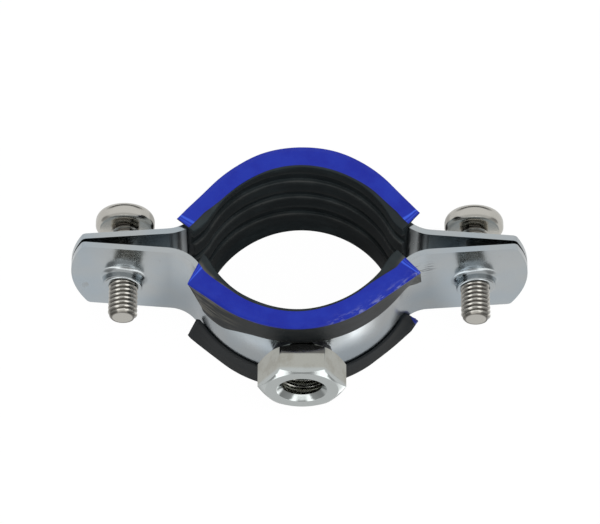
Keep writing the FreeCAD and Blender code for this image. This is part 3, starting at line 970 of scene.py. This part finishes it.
def noise(vector, scale, detail=2.0, rough=0.5):
    return output(vector.tree, "ShaderNodeTexNoise", {
        "Vector": vector, "Scale": scale, "Detail": detail, "Roughness": rough})


def mapped(vector, rotation, scale):
    """A vector turned and stretched."""
    return output(vector.tree, "ShaderNodeMapping", {"Vector": vector, "Rotation": rotation, "Scale": scale})


def grain_group():
    """Two sizes of grain: a coarse one for colour and a fine one for the surface."""
    tree, given, result = new_tree("grain", "ShaderNodeTree", [
        ("Vector", "NodeSocketVector", None),
        ("Coarse Scale", "NodeSocketFloat", 300.0),
        ("Fine Scale", "NodeSocketFloat", 3000.0),
    ], [("Coarse", "NodeSocketFloat"), ("Fine", "NodeSocketFloat")])
    coarse = noise(given["Vector"], given["Coarse Scale"], 3.0, 0.55)
    fine = noise(given["Vector"], given["Fine Scale"], 3.0, 0.6)
    feed(result, {"Coarse": coarse.ramp(0.3, 0.7), "Fine": fine})
    return tree


def scratch_group():
    """Thin, short scratches in two directions, as a mask."""
    tree, given, result = new_tree("scratches", "ShaderNodeTree", [
        ("Vector", "NodeSocketVector", None),
        ("Scale", "NodeSocketFloat", 200.0),
        ("Amount", "NodeSocketFloat", 0.5),
    ], [("Mask", "NodeSocketFloat")])
    place, scale = given["Vector"], given["Scale"]
    masks = []
    for turn, stretch in ((0.5, 14.0), (-0.9, 18.0)):
        lines = noise(mapped(place, (turn, 0.6 * turn, turn), (1.0, stretch, 1.0)), scale, 1.0)
        masks.append(lines.ramp(0.70, 0.74))
    limit = given["Amount"] * -0.4 + 0.8
    where = calc("MULTIPLY", noise(place, scale * 0.6) - limit, 8.0, clamp=True)
    feed(result, {"Mask": calc("MAXIMUM", *masks) * where})
    return tree


def grain(place, coarse_scale, fine_scale):
    """Coarse and fine grain, from the group that the materials share."""
    group = bpy.data.node_groups.get("grain") or grain_group()
    node = add(place.tree, "ShaderNodeGroup", {
        "Vector": place, "Coarse Scale": coarse_scale, "Fine Scale": fine_scale}, node_tree=group)
    return Value(node.outputs["Coarse"]), Value(node.outputs["Fine"])


def scratches(place, scale, amount):
    """Mask of scratches, from the group that the materials share."""
    group = bpy.data.node_groups.get("scratches") or scratch_group()
    inputs = {"Vector": place, "Scale": scale, "Amount": amount}
    return output(place.tree, "ShaderNodeGroup", inputs, "Mask", node_tree=group)


def empty_material(name):
    material = bpy.data.materials.new(name)
    material.use_nodes = True
    material.node_tree.nodes.clear()
    return material, material.node_tree


def plain_surface(name):
    """A material, its surface node, and the place on the clamp as a value."""
    material, tree = empty_material(name)
    surface = add(tree, "ShaderNodeBsdfPrincipled")
    add(tree, "ShaderNodeOutputMaterial", {"Surface": Value(surface.outputs["BSDF"])})
    return material, surface, output(tree, "ShaderNodeTexCoord", key="Object")


def paint(surface, mask, tint):
    """Lay a colour over a surface's own one, where a mask says so."""
    clean = Value(surface.inputs["Base Color"].links[0].from_socket)
    feed(surface, {"Base Color": blend(mask, clean, tint)})


def zinc_material(name, base, patches, finish, roughness, waves=3.0, relief=0.006 * MM):
    """Bright zinc: soft patches, fine grain and a few scratches."""
    material, surface, place = plain_surface(name)
    coarse, fine = grain(place, 260.0, 2600.0)
    scratched = scratches(place, 420.0, finish.wear)
    tint = blend(noise(place, 90.0).ramp(0.35, 0.65), base, patches)
    spotted = blend(fine.ramp(0.55, 0.75) * 0.12, tint, finish.dull)
    height = noise(place, 120.0, 1.0) * waves + (fine - scratched)
    feed(surface, {
        "Base Color": blend(scratched * 0.5, spotted, finish.dull),
        "Metallic": 1.0,
        "Roughness": scratched * 0.08 + (coarse * 0.07 + roughness),
        "Normal": output(place.tree, "ShaderNodeBump", {"Height": height, "Distance": relief}),
    })
    return material, surface, place


def thread_root_shade(surface, place, axis_x, radius, tint):
    """Paint shade into the roots of a thread round an axis along Y, on both sides of the clamp."""
    x, y, z = split(place)
    side = abs(x) - axis_x
    reach = calc("SQRT", side * side + z * z)
    root = radius - 0.45 * MM
    # Painted shade, full at the root and gone at the crest
    root_shade = reach.ramp(root, radius + 0.02 * MM, 1.0, 0.0)
    paint(surface, root_shade * reach.ramp(0.8 * root, 0.9 * root), tint)


def nut_shades(surface, place, front_y, back_y):
    """Mottle the nut, paint a cool reflection on its front, and paint shade on its welded back and on the part of its
    top that the lining shades.
    """
    x, y, z = split(place)
    paint(surface, noise(place, 420.0, 3.0, 0.6).ramp(0.42, 0.70, 0.0, 0.6), NUT_MOTTLE)
    # Painted cool reflection on the front of the nut
    paint(surface, y.ramp(front_y + 0.7 * MM, front_y + 1.4 * MM, 0.8, 0.0), NUT_FRONT_REFLECTION)
    # Painted shade at the welded back, and on the rear of the top that the lining shades
    shaded_weld = y.ramp(back_y - 1.18 * MM, back_y - 1.13 * MM)
    shaded_top = y.ramp(back_y - 4.0 * MM, back_y - 3.7 * MM) * z.ramp(6.35 * MM, 6.45 * MM)
    paint(surface, calc("MAXIMUM", shaded_weld, shaded_top * 0.75), NUT_BACK_SHADE)


def scratches_and_lip_shadow(surface, place):
    """Ragged dark marks on the front band, under the raised end of the lip and beside the lower lip: partly scratches
    and partly painted shadow of the lips.
    """
    masks = []
    for centre, reach, turn in SCRATCHED_AND_SHADED_PLACES:
        from_centre = vector_calc("SUBTRACT", place, centre)
        near = vector_calc("LENGTH", from_centre).ramp(0.3 * reach, reach, 1.0, 0.0)
        lines = noise(mapped(from_centre, (0.3, turn, 0.2), (1.0, 1.0, 7.0)), 420.0, 4.0, 0.7)
        masks.append(lines.ramp(0.56, 0.62) * near)
    # Partly scratches and partly painted shadow under the lips
    paint(surface, calc("MAXIMUM", *masks) * 0.85, DARK_SCRATCH_AND_SHADOW_TINT)


def rubber_material(finish):
    """Black rubber with a dusty bloom and painted highlights on the ribs' edges, and the stripe, stress lines and
    scuffs on its rims.
    """
    material, surface, place = plain_surface("lining_rubber")
    tree = place.tree
    x, y, z = split(place)
    run, gap, depth, lip, rib_edge, rim_edge, stripe_mask, shown = (
        output(tree, "ShaderNodeAttribute", key="Fac", attribute_name=name)
        for name in ("run", "gap", "depth", "lip", "rib_edge", "rim_edge", "stripe", "shown"))
    coarse, fine = grain(place, 220.0, 3600.0)
    scratched = scratches(place, 330.0, finish.wear)
    streaks = noise(joined(tree, run * 0.12, y * 0.1, z), 900.0, 3.0, 0.6)

    outside = lip.ramp(0.5, 1.0)
    dust = streaks.ramp(0.35, 0.75) * coarse.ramp(0.0, 1.0, 0.35, 1.0)
    bare = blend(outside, finish.pipe_side, finish.rubber)
    bloom = blend(outside, finish.pipe_side_bloom, finish.rubber_bloom)
    rubber = blend(dust * 0.55, bare, bloom)
    # Painted highlight along the ribs' edges
    rubber = blend(rib_edge * coarse.ramp(0.0, 1.0, 0.3, 0.8), rubber, RIB_EDGE_HIGHLIGHT)
    front = y.ramp(0.0, -3.0 * MM)
    front_lip = outside * front * z.ramp(2.0 * MM, 4.0 * MM)
    left = x.ramp(-9.0 * MM, -15.0 * MM) * streaks.ramp(0.45, 0.60)
    rubber = blend(left * (front_lip * 0.8), rubber, LEFT_LIP)
    right = x.ramp(15.5 * MM, 19.5 * MM) * streaks.ramp(0.3, 0.6, 0.4, 1.0)
    rubber = blend(right * front_lip, rubber, RIGHT_LIP)

    from_end = coarse * (0.25 * MM) + gap
    stress = abs(from_end - 1.7 * MM).ramp(0.1 * MM, 0.45 * MM, 1.0, 0.0)
    weaker = abs(from_end - 0.9 * MM).ramp(0.05 * MM, 0.3 * MM, 0.45, 0.0)
    stripe = blend(coarse * 0.12, finish.stripe, finish.stripe_stress)
    stripe = blend(calc("MAXIMUM", stress, weaker) * 0.75, stripe, finish.stripe_stress)
    flecks = noise(joined(tree, run * 0.3, depth), 2000.0, 4.0, 0.7).ramp(0.48, 0.64)
    right_front = x.ramp(3.0 * MM, 8.0 * MM) * front
    scuffs = calc("MAXIMUM", flecks * rim_edge * right_front, scratched * 0.15)
    stripe = blend(scuffs * 0.6, stripe, SCUFF)

    at_end = calc("LESS_THAN", gap * 1.5 + (z + 11.0 * MM), 2.3 * MM)
    lower_tip = at_end * (calc("GREATER_THAN", x, 0.0) * calc("LESS_THAN", y, 0.0)) * outside
    striped = calc("MAXIMUM", stripe_mask * shown, lower_tip * 0.6)
    relief = {"Height": streaks * 0.8 + fine, "Distance": 0.02 * MM}
    feed(surface, {
        "Base Color": blend(striped, rubber, stripe),
        "Roughness": mix(striped, dust * 0.15 + 0.5, coarse * 0.1 + 0.36),
        "Specular IOR Level": 0.3,
        "Normal": output(tree, "ShaderNodeBump", relief),
    })
    return material


# Operators

class CLAMP_OT_linings(bpy.types.Operator):
    """Sweep both rubber linings along their bands"""

    bl_idname = "clamp.linings"
    bl_label = "Rubber Linings"

    def execute(self, context):
        sizes = context.scene.clamp_sizes
        material = rubber_material(context.scene.clamp_finish)
        tree = lining_tree()
        for half in HALF_LININGS:
            make_lining(sizes, half, tree, material)
        return {"FINISHED"}


class CLAMP_OT_bands(bpy.types.Operator):
    """Round the stamped edges of both bands and give them their zinc"""

    bl_idname = "clamp.bands"
    bl_label = "Bands"

    def execute(self, context):
        sizes = context.scene.clamp_sizes
        finish = context.scene.clamp_finish
        material, surface, place = zinc_material(
            "zinc_band", finish.sheet_zinc, finish.sheet_zinc_warm, finish, 0.17, waves=10.0, relief=0.002 * MM)
        scratches_and_lip_shadow(surface, place)
        for node, body in (("front_band", "front_half"), ("rear_band", "rear_half")):
            band = cad_copy(node, node + "_sheet")
            rounded_edges(band, sizes.sheet_edge)
            finish_metal(band, material, 40)
            seat(band, body, "zinc_band", node)
        return {"FINISHED"}


class CLAMP_OT_nut(bpy.types.Operator):
    """Cut the thread of the connection nut and give it its zinc"""

    bl_idname = "clamp.nut"
    bl_label = "Connection Nut"

    def execute(self, context):
        sizes = context.scene.clamp_sizes
        finish = context.scene.clamp_finish
        material, surface, place = zinc_material("zinc_nut", finish.nut_zinc, finish.nut_zinc, finish, 0.08)
        low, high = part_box("connection_nut")
        nut_shades(surface, place, low.y, high.y)
        nut = cad_copy("connection_nut", "connection_nut_threaded")
        rounded_edges(nut, sizes.nut_edge, 25)
        root = sizes.nut_bore_radius - 0.08 * MM
        end_radius = root - 0.3 * MM
        countersink = 0.62 * MM
        behind_bore = 1.1 * MM
        rod = make_thread("nut_rod", thread_tree(), sizes.nut_thread_radius, root, {
            "Pitch": sizes.nut_pitch, "Low End": low.y + countersink, "High End": high.y - behind_bore,
            "Low Radius": end_radius, "High Radius": end_radius, "Axis X": (low.x + high.x) / 2,
            "Material": material})
        cut_away(nut, rod)
        finish_metal(nut, material, 30)
        seat(nut, "front_half", "zinc_nut", "connection_nut")
        return {"FINISHED"}


class CLAMP_OT_screws(bpy.types.Operator):
    """Make both screws with their recesses and threads"""

    bl_idname = "clamp.screws"
    bl_label = "Screws"

    def execute(self, context):
        sizes = context.scene.clamp_sizes
        finish = context.scene.clamp_finish
        material, surface, place = zinc_material("zinc_screw", finish.screw_zinc, finish.screw_zinc, finish, 0.12)
        screw_x = sum(corner.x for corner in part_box("right_screw")) / 2
        thread_root_shade(surface, place, screw_x, sizes.screw_radius, THREAD_ROOT_SHADE)
        tree = thread_tree()
        for node, turn in (("left_screw", math.radians(25)), ("right_screw", math.radians(-40))):
            make_screw(sizes, node, node + "_threaded", turn, tree, material)
        return {"FINISHED"}


def look_from(target, azimuth, elevation, roll, distance):
    """Placement of a camera or lamp that looks at a target."""
    back = Vector((math.sin(azimuth) * math.cos(elevation), -math.cos(azimuth) * math.cos(elevation),
                   math.sin(elevation)))
    right = Vector((math.cos(azimuth), math.sin(azimuth), 0.0))
    up = back.cross(right)
    turned_right = right * math.cos(roll) + up * math.sin(roll)
    turned_up = up * math.cos(roll) - right * math.sin(roll)
    axes = Matrix((turned_right, turned_up, back)).transposed()
    return Matrix.Translation(Vector(target) + back * distance) @ axes.to_4x4()


# Middle of the clamp's ring on the floor, and what the camera looks at
RING_CENTRE_Y = 2.9 * MM
CAMERA_TARGET = (0.083 * MM, -4.812 * MM, 11.445 * MM)


def seen_directly(tree):
    """Whether a ray comes straight from the camera or through a clear piece, and whether it is a reflection."""
    ray = add(tree, "ShaderNodeLightPath")
    camera, through, glossy = (
        Value(ray.outputs[name]) for name in ("Is Camera Ray", "Is Transmission Ray", "Is Glossy Ray"))
    return calc("MAXIMUM", camera, through), glossy


def mixed_shaders(factor, first, second):
    return output(factor.tree, "ShaderNodeMixShader", {0: factor, 1: first, 2: second})


def stage_material():
    """Paper that the camera sees as white, with a trace of the clamp's shadow.

    Metal sees a floor that grows darker under the clamp, and in front of it a bright edge and then the tent."""
    material, tree = empty_material("stage_white")
    direct, glossy = seen_directly(tree)
    place = output(tree, "ShaderNodeTexCoord", key="Object")
    from_ring = vector_calc("DISTANCE", place, (0.0, RING_CENTRE_Y, cad_box[0].z))
    front = split(place)[1].ramp(-14.0 * MM, -10.5 * MM, 1.0, 0.0)
    beyond = front * from_ring.ramp(24.9 * MM, 25.8 * MM)
    edge = front * from_ring.ramp(24.8 * MM, 25.4 * MM) * from_ring.ramp(25.8 * MM, 26.5 * MM, 0.45, 0.0)
    floor_light = (from_ring.ramp(11.0 * MM, 19.0 * MM, 0.12, 0.54)
                   + from_ring.ramp(24.0 * MM, 30.0 * MM, 0.0, 0.22))
    lit_floor = output(tree, "ShaderNodeEmission", {"Strength": floor_light})
    near = mixed_shaders(beyond, lit_floor, output(tree, "ShaderNodeBsdfTransparent"))
    lit_edge = output(tree, "ShaderNodeEmission", {"Strength": edge})
    reflected = output(tree, "ShaderNodeAddShader", {0: near, 1: lit_edge})
    white = output(tree, "ShaderNodeEmission", {"Strength": 1.02})
    paper = mixed_shaders(direct * 0.96, output(tree, "ShaderNodeBsdfDiffuse"), white)
    add(tree, "ShaderNodeOutputMaterial", {"Surface": mixed_shaders(glossy, paper, reflected)})
    return material


# Brightness of the tent round the clamp by direction: (degrees from the front, to the right, share of TENT_PEAK)
TENT_PEAK = 2.0
TENT_BELOW = ((-180, 0.48), (-128, 0.30), (-100, 0.27), (-78, 0.26), (-60, 0.34), (-50, 0.40), (-40, 0.40),
              (-22, 0.35), (0, 0.35), (22, 0.36), (38, 0.44), (50, 0.58), (60, 1.0), (66, 0.95), (73, 0.55),
              (82, 0.36), (98, 0.27), (128, 0.30), (180, 0.48))
TENT_SIDES = ((-180, 0.05), (-150, 0.08), (-125, 0.40), (-105, 0.34), (-80, 0.12), (-58, 0.16), (-36, 0.20),
              (-28, 0.95), (-20, 0.95), (-10, 0.22), (10, 0.22), (20, 0.95), (28, 0.95), (36, 0.20), (58, 0.16),
              (80, 0.12), (105, 0.34), (125, 0.40), (150, 0.08), (180, 0.05))


def tent_levels(azimuth, stops):
    """Brightness by direction, as a soft curve through stops."""
    node = add(azimuth.tree, "ShaderNodeValToRGB", {"Fac": azimuth})
    node.color_ramp.interpolation = "EASE"
    elements = node.color_ramp.elements
    elements.remove(elements[1])
    for index, (degrees, level) in enumerate(stops):
        place = (degrees + 180) / 360
        element = elements[0] if index == 0 else elements.new(place)
        element.position = place
        element.color = (level, level, level, 1.0)
    return Value(node.outputs["Color"])


def studio_world(strength):
    """Even light, white behind the clamp, and a tent of softboxes and dark gaps for reflections."""
    world = bpy.data.worlds.new("studio")
    world.use_nodes = True
    tree = world.node_tree
    tree.nodes.clear()
    direct, glossy = seen_directly(tree)
    x, y, z = split(output(tree, "ShaderNodeTexCoord", key="Generated"))
    azimuth = calc("ARCTAN2", x, y * -1.0) * (0.5 / math.pi) + 0.5
    tent = blend(z.ramp(-0.75, -0.48), tent_levels(azimuth, TENT_BELOW), tent_levels(azimuth, TENT_SIDES))
    above = calc("MAXIMUM", y.ramp(-0.2, 0.45, 0.30, 0.41), y.ramp(-0.8, -0.55, 0.75, 0.0))
    tent = mix(z.ramp(0.28, 0.5), tent, above) * TENT_PEAK
    plain = direct * (1.0 - strength) + strength
    light = output(tree, "ShaderNodeBackground", {"Color": (1.0, 1.0, 1.0, 1.0), "Strength": mix(glossy, plain, tent)})
    add(tree, "ShaderNodeOutputWorld", {"Surface": light})
    return world


LAMPS = (
    # name, azimuth, elevation, distance, width, height, power as a share of the key lamp
    ("key", 30, 65, 0.8, 0.5, 0.4, 1.0),
    ("fill", 180, 50, 0.8, 0.7, 0.3, 0.35),
)


def add_lamp(name, azimuth, elevation, distance, width, height, power):
    data = bpy.data.lights.new(name, "AREA")
    data.shape = "RECTANGLE"
    data.size = width
    data.size_y = height
    data.energy = power
    lamp = bpy.data.objects.new(name, data)
    lamp.visible_glossy = False
    bpy.context.scene.collection.objects.link(lamp)
    lamp.matrix_world = look_from((0.0, 0.0, 0.0), math.radians(azimuth), math.radians(elevation), 0.0, distance)


class CLAMP_OT_stage(bpy.types.Operator):
    """Lay the floor and set the lamps and the camera"""

    bl_idname = "clamp.stage"
    bl_label = "Stage"

    def execute(self, context):
        studio = context.scene.clamp_studio
        reach = 3.0
        floor_z = cad_box[0].z - 0.02 * MM
        corners = ((-reach, -reach), (reach, -reach), (reach, reach), (-reach, reach))
        floor = shape_object("floor", [(*corner, floor_z) for corner in corners], faces=[(0, 1, 2, 3)])
        floor.data.materials.append(stage_material())
        context.scene.world = studio_world(studio.world_strength)
        for name, azimuth, elevation, distance, width, height, power in LAMPS:
            add_lamp(name, azimuth, elevation, distance, width, height, power * studio.key_power)
        data = bpy.data.cameras.new("camera")
        data.lens = studio.lens
        data.sensor_width = 36.0
        data.clip_start = 0.01
        camera = bpy.data.objects.new("camera", data)
        context.scene.collection.objects.link(camera)
        camera.matrix_world = look_from(CAMERA_TARGET, studio.azimuth, studio.elevation, studio.roll, studio.distance)
        context.scene.camera = camera
        context.scene.view_settings.view_transform = "Standard"
        return {"FINISHED"}


class CLAMP_PT_pieces(bpy.types.Panel):
    """Lists the steps that dress the clamp"""

    bl_label = "Pipe Clamp"
    bl_idname = "CLAMP_PT_pieces"
    bl_space_type = "VIEW_3D"
    bl_region_type = "UI"
    bl_category = "Pipe Clamp"

    def draw(self, context):
        for operator in OPERATORS:
            self.layout.operator(operator.bl_idname)
        for group in (context.scene.clamp_sizes, context.scene.clamp_finish, context.scene.clamp_studio):
            box = self.layout.box()
            for name in group.__annotations__:
                box.prop(group, name)


OPERATORS = (CLAMP_OT_linings, CLAMP_OT_bands, CLAMP_OT_nut, CLAMP_OT_screws, CLAMP_OT_stage)
CLASSES = (ClampSizes, ClampFinish, StudioSettings, *OPERATORS, CLAMP_PT_pieces)


def register():
    for item in CLASSES:
        bpy.utils.register_class(item)
    bpy.types.Scene.clamp_sizes = PointerProperty(type=ClampSizes)
    bpy.types.Scene.clamp_finish = PointerProperty(type=ClampFinish)
    bpy.types.Scene.clamp_studio = PointerProperty(type=StudioSettings)


def unregister():
    del bpy.types.Scene.clamp_studio
    del bpy.types.Scene.clamp_finish
    del bpy.types.Scene.clamp_sizes
    for item in reversed(CLASSES):
        bpy.utils.unregister_class(item)


def main():
    register()
    bpy.ops.clamp.linings()
    bpy.ops.clamp.bands()
    bpy.ops.clamp.nut()
    bpy.ops.clamp.screws()
    bpy.ops.clamp.stage()


if __name__ == "__main__":
    main()
